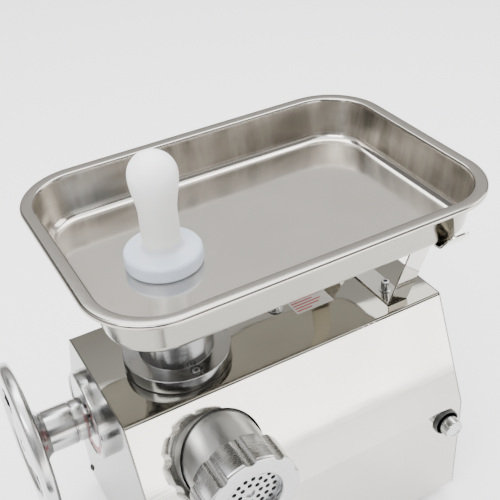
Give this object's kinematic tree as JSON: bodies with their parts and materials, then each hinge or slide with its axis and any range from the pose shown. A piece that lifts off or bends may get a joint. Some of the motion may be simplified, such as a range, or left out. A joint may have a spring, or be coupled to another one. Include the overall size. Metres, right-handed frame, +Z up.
{
  "type": "electric meat grinder",
  "caption": "Countertop electric meat grinder with a deep feed tray, pusher, machined feed neck, hand-wheel clamp, folded steel housing and front outlet.",
  "frame": {"origin": "on the table, under the middle of the overall box", "axes": "+Z up; -Y out of the meat outlet; -X towards the hand wheel; X along the tray"},
  "size_m": [0.462, 0.29, 0.508],
  "materials": {
    "polished_steel": "polished stainless sheet",
    "tray_steel": "satin stainless sheet, pressed",
    "machined_steel": "turned, fine concentric marks",
    "wheel_metal": "cast and polished",
    "cast_aluminium": "as cast",
    "tinned_iron": "tinned",
    "steel_parts": "machined",
    "zinc_screw": "zinc plated",
    "dark_screw": "black oxide",
    "bronze": "turned",
    "rubber_black": "moulded",
    "seal_rubber": "moulded lip seal",
    "pusher_plastic": "white, slightly translucent, polished",
    "label_film": "printed film, plain bars only",
    "red_print": "printed film",
    "copper_winding": "varnished winding on laminations",
    "rotor_steel": "laminations",
    "motor_paint": "grey-blue enamel",
    "black_plastic": "moulded",
    "capacitor_case": "moulded can"
  },
  "bodies": {
    "housing": {"top_plate": "polished_steel", "front_panel": "polished_steel", "back_panel": "polished_steel", "left_end_plate": "polished_steel", "rear_cover": "polished_steel", "tray_bracket": "polished_steel", "feed_neck": "machined_steel", "clamp_boss": "machined_steel", "gearbox_body": "cast_aluminium", "gearbox_cover": "cast_aluminium", "drive_end_shield": "cast_aluminium", "fan_end_shield": "cast_aluminium", "clamp_guide": "cast_aluminium", "barrel_saddle": "cast_aluminium", "barrel": "tinned_iron", "base_plate": "steel_parts", "neck_backing_ring": "steel_parts", "hole_plate": "steel_parts", "output_bearing": "steel_parts", "motor_bearings": "steel_parts", "motor_cradle": "steel_parts", "foot_screws": "zinc_screw", "domed_bolt": "zinc_screw", "neck_screws": "zinc_screw", "bracket_screws": "zinc_screw", "locating_pin": "zinc_screw", "gearbox_screws": "zinc_screw", "cover_screws": "dark_screw", "end_plate_screws": "dark_screw", "worm_bush": "bronze", "rubber_feet": "rubber_black", "neck_gasket": "rubber_black", "oil_seal": "seal_rubber", "info_label": "label_film", "turn_arrow_label": "red_print", "stator": "copper_winding", "motor_shell": "motor_paint", "fan_cowl": "black_plastic", "switch_unit": "black_plastic", "cable_gland": "black_plastic", "capacitor": "capacitor_case"},
    "tray_body": {"tray": "tray_steel", "tray_spigot": "tray_steel"},
    "pusher_body": {"pusher": "pusher_plastic"},
    "worm_drive": {"worm": "tinned_iron", "knife": "steel_parts", "output_shaft": "steel_parts", "output_gear": "steel_parts"},
    "intermediate_drive": {"intermediate_shaft": "steel_parts", "intermediate_gear": "steel_parts"},
    "motor_drive": {"motor_pinion": "steel_parts", "motor_shaft": "steel_parts", "rotor": "rotor_steel", "fan": "black_plastic"},
    "outlet_nut": {"ring_nut": "machined_steel"},
    "wheel_body": {"handwheel": "wheel_metal", "clamp_sleeve": "machined_steel", "retaining_ring": "zinc_screw"},
    "pin_body": {"clamp_pin": "steel_parts"},
    "knob_body": {"switch_knob": "wheel_metal"}
  },
  "joints": [
    {"name": "tray_lift", "type": "slide", "parent": "housing", "child": "tray_body", "axis": [0, 0, 1], "range_m": [0, 0.06]},
    {"name": "pusher_slide", "type": "slide", "parent": "tray_body", "child": "pusher_body", "axis": [0, 0, 1], "range_m": [0, 0.16]},
    {"name": "worm_spin", "type": "hinge", "parent": "housing", "child": "worm_drive", "pos_m": [-0.065, 0, 0.212], "axis": [0, 1, 0], "continuous": true},
    {"name": "intermediate_spin", "type": "hinge", "parent": "housing", "child": "intermediate_drive", "pos_m": [-0.013, 0.08, 0.1821], "axis": [0, 1, 0], "continuous": true},
    {"name": "motor_spin", "type": "hinge", "parent": "housing", "child": "motor_drive", "pos_m": [0.033, 0, 0.1538], "axis": [0, 1, 0], "continuous": true},
    {"name": "ring_nut_turn", "type": "hinge", "parent": "housing", "child": "outlet_nut", "pos_m": [-0.065, -0.12, 0.212], "axis": [0, -1, 0], "range_deg": [0, 120]},
    {"name": "handwheel_turn", "type": "hinge", "parent": "housing", "child": "wheel_body", "pos_m": [-0.2, 0.041, 0.212], "axis": [-1, 0, 0], "range_deg": [0, 540]},
    {"name": "clamp_pin_slide", "type": "slide", "parent": "housing", "child": "pin_body", "axis": [-1, 0, 0], "range_m": [0, 0.0091]},
    {"name": "switch_turn", "type": "hinge", "parent": "housing", "child": "knob_body", "pos_m": [0.196, -0.115, 0.135], "axis": [0, -1, 0], "range_deg": [-45, 45]}
  ],
  "couplings": [
    {"joint": "intermediate_spin", "follows": "worm_spin", "ratio": -2.75},
    {"joint": "motor_spin", "follows": "worm_spin", "ratio": 7.8571},
    {"joint": "clamp_pin_slide", "follows": "handwheel_turn", "m_per_rad": 0.000955}
  ]
}
